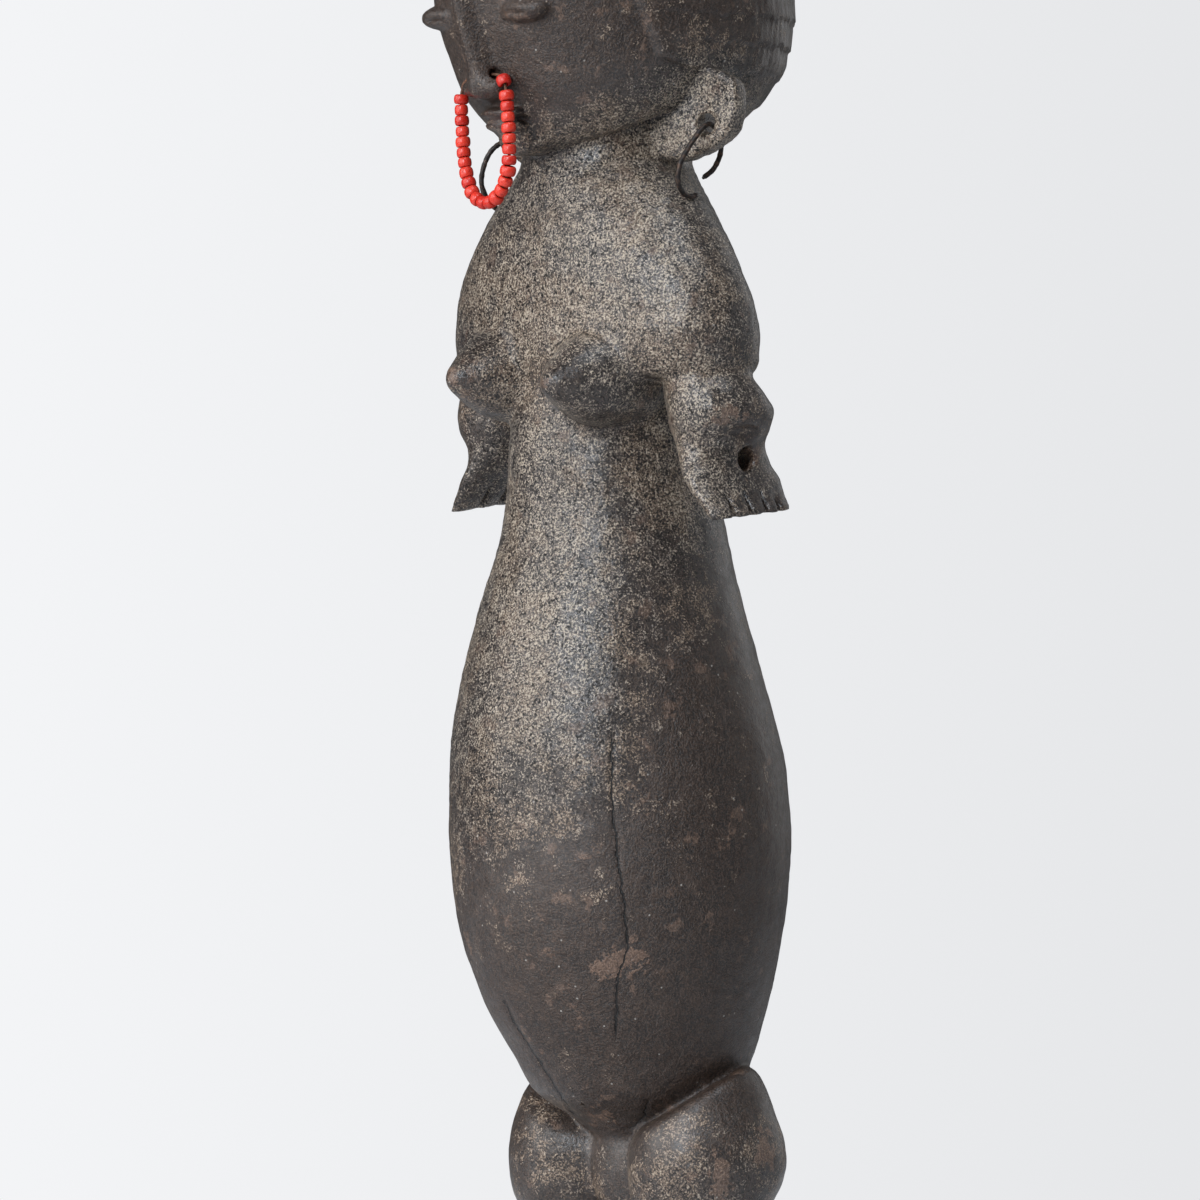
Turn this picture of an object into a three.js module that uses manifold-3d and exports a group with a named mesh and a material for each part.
// A standing figure of a woman, carved from one block of dark wood, with a wire ring in each ear and a
// loop of glass beads through the nose. Millimetres, +Z up. The figure faces -Y, its left side is +X,
// and the origin is under the middle of its base.
import * as THREE from "three";
import { mergeVertices } from "three/addons/utils/BufferGeometryUtils.js";
import Module from "manifold-3d";

const wasm = await Module();
wasm.setup();

// Base and legs
const BASE_HALF_WIDTH = 47;
const BASE_HALF_DEPTH = 41;
const BASE_HEIGHT = 12.4;
const LEG_X = 23.1;
const LEG_Y = 14.3;
const THIGH_X = 25.5;
const FOOT_Y = 12;
const GROIN_Z = 112; // the fold under the belly, at the middle; it rises outwards and backwards
const GROIN_RISE_OUT = 0.43;
const GROIN_RISE_BACK = 0.42;

// Head, ears and nose
const EAR_HOLE_Z = 391.7;
const EAR_HOLE_RADIUS = 2.7;
const EAR_HOLE_ALONG = 17.2; // outwards from the inner edge of the ear
const EAR_INNER = [22, -0.8];
const EAR_OUTER = [49.5, 7.7];
const EAR_THICKNESS = 6.4;
const EAR_RIM = 1.2; // how far the slab's edges are rounded
// Outwards and up, from the back of the jaw round the lobe to the top
const EAR_OUTLINE = [
  [-4, 384],
  [2, 382.4],
  [9.3, 381.5],
  [18.8, 384.4],
  [23.6, 387],
  [26.6, 391],
  [27.8, 397.7],
  [27, 403],
  [22.6, 406],
  [12, 408.6],
  [4, 410],
  [-4, 409],
];
const JAW_Y = -26; // where the chin ends and the jaw starts to rise
const JAW_Z = 385;
const JAW_RISE = 0.45;
const NOSE_HOLE_Y = -43;
const NOSE_HOLE_Z = 404.9;
const NOSE_HOLE_RADIUS = 1.5;
const HAIR_THICKNESS = 1.2;
const HAIR_TIER_STEP = 0.8;
const HAIR_TIER_PITCH = 7.7;
const HAIR_FIRST_TIER_Z = 391;

// Arms and breasts
const HAND_TIP_Z = 285.9; // at y = 8
const RIGHT_HAND_RAISED = 4; // the right hand is shorter than the left
const HAND_HOLE_Y = 4.8;
const HAND_HOLE_Z = 300.6;
const HAND_HOLE_WIDTH = 6.2;
const HAND_HOLE_HEIGHT = 7;
const LEFT_HAND_SLOPE = 0.1; // radians: the fingertips rise towards the back
const RIGHT_HAND_SLOPE = 0.16;
const FINGER_GROOVES = [-3.9, 2.3, 8.3, 13.3];
const NIPPLE = [20.4, -39.4, 320.6];
const BREAST_ROOT = [19.4, -12, 323.8];
const RIGHT_BREAST_RAISED = 2.2; // the right breast sits higher than the left

// Wire rings in the ears
const WIRE_RADIUS = 0.7;
// Each path: degrees from the back of the ring, going over the top, and the share of the ring's radius.
const LEFT_RING = {
  radius: 10,
  swing: 0.15,
  lean: -0.2,
  path: [
    [-62, 0.55],
    [-15, 0.75],
    [16, 0.96],
    [50, 1.02],
    [82, 1],
    [100, 0.91],
    [128, 0.77],
    [165, 0.83],
    [191, 1.04],
    [215, 1.16],
    [240, 1.11],
    [262, 1.02],
    [276, 0.96],
  ],
};
const RIGHT_RING = {
  radius: 11,
  swing: 0.24,
  lean: 0.24,
  path: [
    [-73, 0.52],
    [-42, 0.58],
    [-18, 0.74],
    [12, 1],
    [50, 1],
    [90, 1],
    [140, 1],
    [190, 1],
    [225, 1.01],
    [250, 1.02],
  ],
};

// Bead loop
const BEAD_COUNT = 25;
const BEAD_RADIUS = 2;
const BEAD_HOLE_RADIUS = 0.85;
const BEAD_LENGTH = 2.3;
const THREAD_RADIUS = 0.45;

// Shaping helpers

// A closed mesh through rings of points that all have the same count, with a fan over each end.
function skin(rings) {
  const sides = rings[0].length;
  const points = rings.flat();
  const faces = [];
  for (let r = 0; r + 1 < rings.length; r++) {
    for (let i = 0; i < sides; i++) {
      const j = (i + 1) % sides;
      const low = r * sides;
      const high = low + sides;
      faces.push(low + i, low + j, high + j, low + i, high + j, high + i);
    }
  }
  const middle = (ring) => ring.reduce((sum, p) => sum.add(p), new THREE.Vector3()).divideScalar(sides);
  const foot = points.push(middle(rings[0])) - 1;
  const top = points.push(middle(rings[rings.length - 1])) - 1;
  const last = (rings.length - 1) * sides;
  for (let i = 0; i < sides; i++) {
    const j = (i + 1) % sides;
    faces.push(foot, j, i, top, last + i, last + j);
  }
  const geometry = new THREE.BufferGeometry().setFromPoints(points);
  geometry.setIndex(faces);
  return geometry;
}

// One horizontal ring: an oval whose front and back depths differ and whose corners fill out with `full`.
function oval([z, x, y, halfWidth, front, back, full], sides) {
  const ring = [];
  for (let i = 0; i < sides; i++) {
    const turn = (2 * Math.PI * (i + 0.5)) / sides;
    const across = Math.sign(Math.cos(turn)) * Math.abs(Math.cos(turn)) ** (2 / full);
    const along = Math.sign(Math.sin(turn)) * Math.abs(Math.sin(turn)) ** (2 / full);
    ring.push(new THREE.Vector3(x + halfWidth * across, y + (along < 0 ? front : back) * along, z));
  }
  return ring;
}

// A body drawn smoothly through stations, lowest first: height, centre x, centre y, half-width,
// depth to the front, depth to the back, fullness.
function loft(stations, sides, ringsPerStation) {
  const heights = stations.map((s) => s[0]);
  const curve = new THREE.CubicInterpolant(heights, stations.flat(), stations[0].length);
  const rings = [];
  for (let s = 0; s + 1 < stations.length; s++) {
    for (let r = 0; r < ringsPerStation; r++) {
      const z = THREE.MathUtils.lerp(heights[s], heights[s + 1], r / ringsPerStation);
      rings.push(oval(Array.from(curve.evaluate(z)), sides));
    }
  }
  rings.push(oval(stations[stations.length - 1], sides));
  return skin(rings);
}

// Stations whose depth is the same to the front and to the back.
const even = (z, y, halfWidth, halfDepth, full = 2) => [z, 0, y, halfWidth, halfDepth, halfDepth, full];

// A body turned about the line from one point to another; the profile gives [share of the line, radius].
function spindle(from, to, profile, sides) {
  const axis = to.clone().sub(from);
  const up = new THREE.Vector3(0, 0, 1);
  const turn = new THREE.Quaternion().setFromUnitVectors(up, axis.clone().normalize());
  const rings = profile.map(([share, radius]) =>
    oval([0, 0, 0, radius, radius, radius, 2], sides).map((p) =>
      p.applyQuaternion(turn).addScaledVector(axis, share).add(from),
    ),
  );
  return skin(rings);
}

function solid(geometry) {
  const bare = geometry.clone();
  bare.deleteAttribute("normal");
  bare.deleteAttribute("uv");
  const merged = mergeVertices(bare, 1e-4);
  const mesh = new wasm.Mesh({
    numProp: 3,
    vertProperties: merged.attributes.position.array,
    triVerts: new Uint32Array(merged.index.array),
  });
  return new wasm.Manifold(mesh);
}

function geometryOf(manifold) {
  const mesh = manifold.getMesh();
  const geometry = new THREE.BufferGeometry();
  geometry.setAttribute("position", new THREE.BufferAttribute(new Float32Array(mesh.vertProperties), 3));
  geometry.setIndex(new THREE.BufferAttribute(new Uint32Array(mesh.triVerts), 1));
  return geometry;
}

const mirrored = (manifold) => manifold.mirror([1, 0, 0]);
const bothSides = (manifold) => manifold.add(mirrored(manifold));

// A round bar between two points, for drilling holes.
function bar(from, to, radius) {
  const ends = [[0, radius], [1, radius]];
  return solid(spindle(new THREE.Vector3(...from), new THREE.Vector3(...to), ends, 12));
}

// A block with its middle at a point, turned about X, for cutting grooves.
function block(size, centre, tilt = 0) {
  const geometry = new THREE.BoxGeometry(...size);
  geometry.rotateX(tilt);
  geometry.translate(...centre);
  return solid(geometry);
}

// Trunk: the belly tapers up to the ribs, and the shoulders and upper arms flare out as a bell

const belly = loft(
  [
    even(111.6, 10.4, 5, 6),
    even(115, 10.4, 11, 10.6),
    even(120, 10.4, 18, 17),
    even(128, 10.4, 28.8, 28.2),
    even(138, 9.4, 33.8, 33),
    even(148, 7.5, 37.9, 37.6),
    even(160, 6, 42, 42),
    even(172, 5, 45, 45),
    even(198, 4.8, 47.2, 47),
    even(215, 4, 46.6, 46.2),
    even(232, 2.6, 43.8, 43.6),
    even(257, 1.9, 37.6, 37.4),
    even(282, 2.6, 30.8, 30.6),
    even(309, 0.6, 27.2, 26.8),
    even(335, 0, 26, 22),
  ],
  22,
  1,
);
const bell = loft(
  [
    even(322.6, 0, 38, 16, 2.3),
    even(323.8, 0, 49, 22, 2.3),
    even(326, 0, 53, 24.4, 2.3),
    even(329, -0.3, 54.6, 25.4, 2.25),
    even(335, -0.5, 55.6, 25.6, 2.2),
    even(342, -1, 54.6, 24.8, 2.2),
    even(353, -1.8, 49.8, 24.4, 2.15),
    even(364, -1.8, 41.4, 24.2, 2.1),
    even(372.5, -1, 33.8, 24, 2),
    even(378, -0.4, 28, 23.6, 2),
    even(383, 0, 23.8, 23.4, 2),
    even(408, 1, 23, 22, 2),
  ],
  22,
  1,
);

// Head: an egg that leans forward over the neck, with a capped coiffure

// What is cut from under the head: the jaw rises from the chin towards the ears.
function underJaw() {
  const geometry = new THREE.BoxGeometry(120, 100, 30);
  geometry.translate(0, 50, -15);
  geometry.rotateX(Math.atan(JAW_RISE));
  geometry.translate(0, JAW_Y, JAW_Z);
  return solid(geometry);
}

const HEAD_SIDES = 22;
const HEAD = [
  [384.6, 0, -4, 15, 17, 19, 2.2],
  [387, 0, -4, 20.5, 24, 26, 2.2],
  [393, 0, -2, 28, 32.5, 37, 2.2],
  [402, 0, 0, 35.4, 40.5, 45.6, 2.2],
  [411, 0, 2, 39, 46, 49.4, 2.2],
  [424, 0, 3, 41, 52.5, 51.2, 2.15],
  [438, 0, 3.4, 41.4, 55, 51.6, 2.1],
  [452, 0, 3.4, 38.6, 51, 48.8, 2.05],
  [464, 0, 3.4, 31.6, 41.4, 40, 2],
  [472.5, 0, 3.4, 22.6, 29.6, 28.6, 2],
  [477.4, 0, 3.4, 12.4, 16.2, 16, 2],
  [478.8, 0, 3.4, 4, 5.2, 5.2, 2],
];
const skull = solid(loft(HEAD, HEAD_SIDES, 1)).subtract(underJaw());

// The coiffure follows the skull, a little outside it, and steps back at each tier.
function hair() {
  const curve = new THREE.CubicInterpolant(HEAD.map((s) => s[0]), HEAD.flat(), 7);
  const rings = [];
  const top = HEAD[HEAD.length - 1][0];
  for (let z = HAIR_FIRST_TIER_Z; z < top - 3; z += HAIR_TIER_PITCH) {
    const upper = Math.min(z + HAIR_TIER_PITCH - 0.4, top);
    for (const [height, step] of [[z, HAIR_TIER_STEP], [upper, 0]]) {
      const station = Array.from(curve.evaluate(height));
      const grown = HAIR_THICKNESS + step;
      station[3] += grown;
      station[4] += grown;
      station[5] += grown;
      rings.push(oval(station, HEAD_SIDES));
    }
  }
  rings.push(oval([top + HAIR_THICKNESS, 0, 4, 4, 5, 5, 2], HEAD_SIDES));
  return skin(rings);
}

// What the hairline leaves bare: the face and the cheeks, seen from the side as one outline.
function faceCutter() {
  const outline = new THREE.Shape();
  outline.moveTo(-90, 370);
  outline.lineTo(-90, 446);
  outline.lineTo(-50, 446);
  outline.quadraticCurveTo(-30, 445, -25, 431);
  outline.lineTo(-13, 409);
  outline.lineTo(8, 404);
  outline.lineTo(26, 392);
  outline.lineTo(26, 370);
  const geometry = new THREE.ExtrudeGeometry(outline, {
    depth: 120,
    bevelEnabled: false,
    curveSegments: 6,
  });
  geometry.translate(0, 0, -60);
  // The outline was drawn with y across and z up; stand it up across the head.
  geometry.applyMatrix4(new THREE.Matrix4().set(0, 0, 1, 0, 1, 0, 0, 0, 0, 1, 0, 0, 0, 0, 0, 1));
  return solid(geometry);
}

const coiffure = solid(hair()).subtract(faceCutter());

// Ears: slabs that face the front, a little cupped, each with a hole low down for its ring

const earInner = new THREE.Vector2(...EAR_INNER);
const earOuter = new THREE.Vector2(...EAR_OUTER);
const earAlong = earOuter.clone().sub(earInner).normalize(); // outwards, in plan
const earFront = new THREE.Vector2(earAlong.y, -earAlong.x); // the way the slab faces, in plan

// A point of the left ear: so far outwards, so far to the slab's front, at a height.
const earPoint = (along, forward, z) =>
  new THREE.Vector3(
    earInner.x + earAlong.x * along + earFront.x * forward,
    earInner.y + earAlong.y * along + earFront.y * forward,
    z,
  );

function ear() {
  const outline = new THREE.Shape();
  EAR_OUTLINE.forEach(([along, z], i) => (i ? outline.lineTo(along, z) : outline.moveTo(along, z)));
  const slab = new THREE.ExtrudeGeometry(outline, {
    depth: EAR_THICKNESS - 2 * EAR_RIM,
    bevelThickness: EAR_RIM,
    bevelSize: EAR_RIM,
    bevelOffset: -EAR_RIM,
    bevelSegments: 1,
  });
  slab.translate(0, 0, -EAR_THICKNESS / 2 + EAR_RIM);
  const stand = new THREE.Matrix4().makeBasis(
    new THREE.Vector3(earAlong.x, earAlong.y, 0),
    new THREE.Vector3(0, 0, 1),
    new THREE.Vector3(earFront.x, earFront.y, 0),
  );
  stand.setPosition(earInner.x, earInner.y, 0);
  slab.applyMatrix4(stand);
  const cup = new THREE.SphereGeometry(1, 10, 6);
  cup.scale(8.4, 1.4, 8);
  cup.rotateZ(Math.atan2(earAlong.y, earAlong.x));
  cup.translate(...earPoint(16, EAR_THICKNESS / 2 + 0.4, 399).toArray());
  const hole = bar(
    earPoint(EAR_HOLE_ALONG, -9, EAR_HOLE_Z).toArray(),
    earPoint(EAR_HOLE_ALONG, 9, EAR_HOLE_Z).toArray(),
    EAR_HOLE_RADIUS,
  );
  return solid(slab).subtract(solid(cup)).subtract(hole);
}

// Face: calm, eyes half closed, a straight nose pierced across and closed lips

function nose() {
  return solid(
    loft(
      [
        [398.6, 0, -40, 4.2, 5.2, 5, 2],
        [400, 0, -40, 5.5, 7.6, 5, 2],
        [402.4, 0, -40, 5.7, 8.4, 5, 2],
        [405.4, 0, -40.4, 4.6, 8.2, 6, 2],
        [412, 0, -43, 3.6, 7.6, 6, 2],
        [421, 0, -47, 3, 6.6, 6, 2],
        [428, 0, -50, 3, 4.4, 5, 2],
        [431, 0, -50, 2.4, 2.4, 4, 2],
      ],
      10,
      1,
    ),
  );
}

// A flattened ball, for eyelids, lips, the chin and the pubis.
function pad(centre, size, sides = 8) {
  const geometry = new THREE.SphereGeometry(1, sides, Math.round(sides / 2));
  geometry.scale(...size);
  geometry.translate(...centre);
  return solid(geometry);
}

const face = nose()
  .add(bothSides(pad([17, -44, 423], [8.4, 5, 3.6])))
  .add(pad([0, -37.2, 394.6], [8.4, 3.6, 1.5]))
  .add(pad([0, -36.4, 391.8], [7.2, 3.6, 1.4]))
  .add(pad([0, -28.6, 387.4], [8, 6, 3.6]));
const eyeSlits = bothSides(pad([17.6, -49.4, 422.4], [6.6, 1.6, 0.8]));
const noseHole = bar([-14, NOSE_HOLE_Y, NOSE_HOLE_Z], [14, NOSE_HOLE_Y, NOSE_HOLE_Z], NOSE_HOLE_RADIUS);

// Breasts: cones that reach forward and narrow to a small blunt nipple

// Share of the way from the root to the nipple, and the radius there.
const BREAST_PROFILE = [
  [0, 13.8],
  [0.2, 13.7],
  [0.36, 13],
  [0.51, 11.7],
  [0.65, 9.6],
  [0.77, 7.4],
  [0.87, 5],
  [0.94, 3.2],
  [1, 1.2],
];

function breast(raised) {
  const root = new THREE.Vector3(...BREAST_ROOT);
  const nipple = new THREE.Vector3(...NIPPLE);
  return solid(spindle(root, nipple, BREAST_PROFILE, 14)).translate([0, 0, raised]);
}

// Forearms and hands: they hang free of the ribs, and each flat hand ends in a thumb and four stub fingers

function forearm(raised, slope) {
  const limb = solid(
    loft(
      [
        [282, 58.2, 4.2, 2.6, 14.4, 13.8, 2.7],
        [287, 54.6, 4.2, 3.2, 15.2, 14.4, 2.6],
        [291, 51.2, 4.1, 4, 16.2, 15, 2.4],
        [295.6, 48.2, 3.9, 5.2, 16.4, 15.8, 2.2],
        [300, 45.6, 3.6, 7.6, 15, 14.4, 2],
        [305, 44.4, 3.2, 9.8, 14.4, 13.4, 2],
        [309.6, 44.8, 2.8, 13.2, 15, 13.9, 2],
        [313.5, 45, 2.8, 14, 15.6, 14.4, 2],
        [318, 44, 2.6, 13.8, 15.8, 11.6, 2],
        [323.4, 42.5, 2, 11.3, 15.4, 9.4, 2],
        [331, 42, 2, 9.4, 11, 10, 2],
      ],
      12,
      1,
    ),
  );
  const hole = new THREE.CylinderGeometry(HAND_HOLE_HEIGHT / 2, HAND_HOLE_HEIGHT / 2, 30, 10);
  hole.rotateZ(Math.PI / 2);
  hole.scale(1, HAND_HOLE_WIDTH / HAND_HOLE_HEIGHT, 1);
  hole.translate(50, HAND_HOLE_Y, HAND_HOLE_Z);
  let cut = limb.subtract(solid(hole));
  for (const y of FINGER_GROOVES) {
    cut = cut.subtract(block([16, 0.9, 12], [53, y, 286 + raised]));
  }
  return cut.subtract(block([30, 60, 16], [54, 8, HAND_TIP_Z - 8 + raised], slope));
}

// Legs: full hips and thighs, bent knees, calves and long feet

// What lies over the fold between the belly and the left thigh; the fold rises outwards and backwards.
function aboveGroin() {
  const geometry = new THREE.BoxGeometry(120, 120, 40);
  geometry.translate(0, 0, 20);
  geometry.rotateX(Math.atan(GROIN_RISE_BACK));
  geometry.rotateY(-Math.atan(GROIN_RISE_OUT));
  geometry.translate(LEG_X, LEG_Y, GROIN_Z + GROIN_RISE_OUT * LEG_X + GROIN_RISE_BACK * LEG_Y);
  return solid(geometry);
}

function leg() {
  const full = (z, radius, y = LEG_Y, x = LEG_X) => [z, x, y, radius, radius, radius, 2];
  const shank = solid(
    loft(
      [
        full(12, 11, LEG_Y + 1),
        full(30, 12.2, LEG_Y + 1),
        full(42, 15.2, LEG_Y + 2),
        full(54, 16.8, LEG_Y + 2),
        full(73, 15.4, LEG_Y - 2),
        full(84, 16.2),
        [92, 24.6, LEG_Y - 2, 16.6, 17.4, 17.4, 2],
        [98, THIGH_X, LEG_Y - 1.6, 18.5, 20, 20, 2],
        [103, THIGH_X, LEG_Y - 0.5, 20.2, 21.7, 21.7, 2],
        [108.6, THIGH_X, LEG_Y, 20.9, 22.4, 22.4, 2],
        [114, THIGH_X, LEG_Y, 20.3, 21.8, 21.8, 2],
        [125, THIGH_X - 0.6, LEG_Y, 17.4, 18.6, 18.6, 2],
        [131, THIGH_X - 1.2, LEG_Y, 15.4, 16.4, 16.4, 2],
        [136, LEG_X, LEG_Y, 12.4, 12.4, 12.4, 2],
        [139, LEG_X, LEG_Y, 6, 6, 6, 2],
      ],
      14,
      1,
    ),
  );
  let foot = solid(
    loft(
      [
        [BASE_HEIGHT - 1.4, LEG_X, FOOT_Y, 11.6, 35, 15.6, 2.7],
        [16, LEG_X, FOOT_Y, 11.6, 34, 15.4, 2.6],
        [19.5, LEG_X, FOOT_Y, 10.8, 28, 14.6, 2.4],
        [24, LEG_X, FOOT_Y + 2, 10, 18, 12, 2.1],
        [30, LEG_X, FOOT_Y + 3, 9, 11, 10, 2],
      ],
      12,
      1,
    ),
  );
  for (const x of [-5.4, -1.2, 3, 7]) {
    foot = foot.subtract(block([0.9, 9, 12], [LEG_X + x, -23, 17.6]));
  }
  return shank.subtract(aboveGroin()).add(foot);
}

// Base: a low rounded slab left under the feet

const base = solid(
  skin(
    [[0, 1.2], [1.2, 0], [BASE_HEIGHT - 1.4, 0.4], [BASE_HEIGHT, 2]].map(([z, inset]) =>
      oval([z, 0, 0, BASE_HALF_WIDTH - inset, BASE_HALF_DEPTH - inset, BASE_HALF_DEPTH - inset, 3], 24),
    ),
  ),
);

// The carved block

let carving = solid(belly).add(solid(bell)).add(skull).add(coiffure);
for (const side of [ear(), leg()]) {
  carving = carving.add(bothSides(side));
}
carving = carving
  .add(breast(0))
  .add(mirrored(breast(RIGHT_BREAST_RAISED)))
  .add(forearm(0, LEFT_HAND_SLOPE))
  .add(mirrored(forearm(RIGHT_HAND_RAISED, RIGHT_HAND_SLOPE)))
  .add(face)
  .add(pad([0, 6, 107], [12, 7, 14]))
  .add(base)
  .subtract(eyeSlits)
  .subtract(noseHole);

// Wire rings: open loops that pass through the ears from front to back

// A ring hangs swung a little forwards about its hole. Its foot leans outwards, or inwards below 0.
function wireRing(side, { radius, swing, lean, path }) {
  const up = new THREE.Vector3(-Math.sin(lean) * earAlong.x, -Math.sin(lean) * earAlong.y, Math.cos(lean));
  const forward = new THREE.Vector3(earFront.x, earFront.y, 0);
  const inHole = earPoint(EAR_HOLE_ALONG, 0, EAR_HOLE_Z);
  const centre = inHole
    .clone()
    .addScaledVector(forward, radius * Math.sin(swing))
    .addScaledVector(up, -radius * Math.cos(swing));
  const points = path.map(([degrees, share]) => {
    const turn = THREE.MathUtils.degToRad(degrees);
    const p = centre
      .clone()
      .addScaledVector(forward, -radius * share * Math.cos(turn))
      .addScaledVector(up, radius * share * Math.sin(turn));
    return new THREE.Vector3(side * p.x, p.y, p.z);
  });
  const circle = new THREE.Shape();
  circle.absarc(0, 0, WIRE_RADIUS, 0, 2 * Math.PI);
  return new THREE.ExtrudeGeometry(circle, {
    extrudePath: new THREE.CatmullRomCurve3(points, false, "centripetal"),
    steps: 28,
    curveSegments: 3,
    bevelEnabled: false,
  });
}

// The bead loop: a thread out of one side of the nose, down round a narrow loop and back in at the other

// Its path seen from the front: sideways, and down from the hole.
const LOOP_PATH = [
  [0.9, 0],
  [4.2, 0],
  [6.8, -0.7],
  [8.5, -3.6],
  [9.5, -11],
  [10.1, -19],
  [9.7, -26],
  [7.6, -30.4],
  [4.2, -33.6],
  [-0.4, -34.6],
  [-4.8, -32.6],
  [-7.6, -28],
  [-9.2, -22],
  [-10, -14],
  [-10.4, -5.4],
  [-9.4, -2],
  [-6.8, -0.3],
  [-4.2, 0],
  [-0.9, 0],
];
const loopPoints = LOOP_PATH.map(([x, drop]) => new THREE.Vector3(x, NOSE_HOLE_Y, NOSE_HOLE_Z + drop));
const loopCurve = new THREE.CatmullRomCurve3(loopPoints, false, "centripetal");

function thread() {
  const circle = new THREE.Shape();
  circle.absarc(0, 0, THREAD_RADIUS, 0, 2 * Math.PI);
  return new THREE.ExtrudeGeometry(circle, {
    extrudePath: loopCurve,
    steps: 38,
    curveSegments: 4,
    bevelEnabled: false,
  });
}

// A short glass ring with soft edges, turned about Y.
function beadGeometry() {
  const half = BEAD_LENGTH / 2;
  const profile = [
    [BEAD_HOLE_RADIUS, -half],
    [BEAD_RADIUS * 0.74, -half],
    [BEAD_RADIUS, 0],
    [BEAD_RADIUS * 0.74, half],
    [BEAD_HOLE_RADIUS, half],
    [BEAD_HOLE_RADIUS, -half],
  ];
  return new THREE.LatheGeometry(profile.map(([r, y]) => new THREE.Vector2(r, y)), 7);
}

// Materials
const wood = new THREE.MeshStandardMaterial({ name: "crusted_wood", color: 0x4a423d, roughness: 0.8 });
const iron = new THREE.MeshStandardMaterial({
  name: "iron_wire",
  color: 0x3a3432,
  roughness: 0.55,
  metalness: 0.8,
});
const glass = new THREE.MeshStandardMaterial({ name: "red_glass", color: 0xc8301f, roughness: 0.3 });
const cotton = new THREE.MeshStandardMaterial({ name: "thread", color: 0x5a3a2c, roughness: 0.9 });

const group = new THREE.Group();

function place(name, geometry, material) {
  const mesh = new THREE.Mesh(geometry, material);
  mesh.name = name;
  group.add(mesh);
  return mesh;
}

place("figure", geometryOf(carving), wood);
place("ear_ring_left", wireRing(1, LEFT_RING), iron);
place("ear_ring_right", wireRing(-1, RIGHT_RING), iron);
place("thread", thread(), cotton);

// The first bead sits at the mouth of the hole; a little bare thread shows before the second.
const loopLength = loopCurve.getLength();
const firstBead = 7.5;
const secondBead = 11.9;
const lastBead = loopLength - 13.2;
const spacing = (lastBead - secondBead) / (BEAD_COUNT - 2);
for (let i = 0; i < BEAD_COUNT; i++) {
  const along = i === 0 ? firstBead : secondBead + spacing * (i - 1);
  const mesh = place("bead_" + String(i + 1).padStart(2, "0"), beadGeometry(), glass);
  mesh.position.copy(loopCurve.getPointAt(along / loopLength));
  mesh.quaternion.setFromUnitVectors(new THREE.Vector3(0, 1, 0), loopCurve.getTangentAt(along / loopLength));
}

export default group;
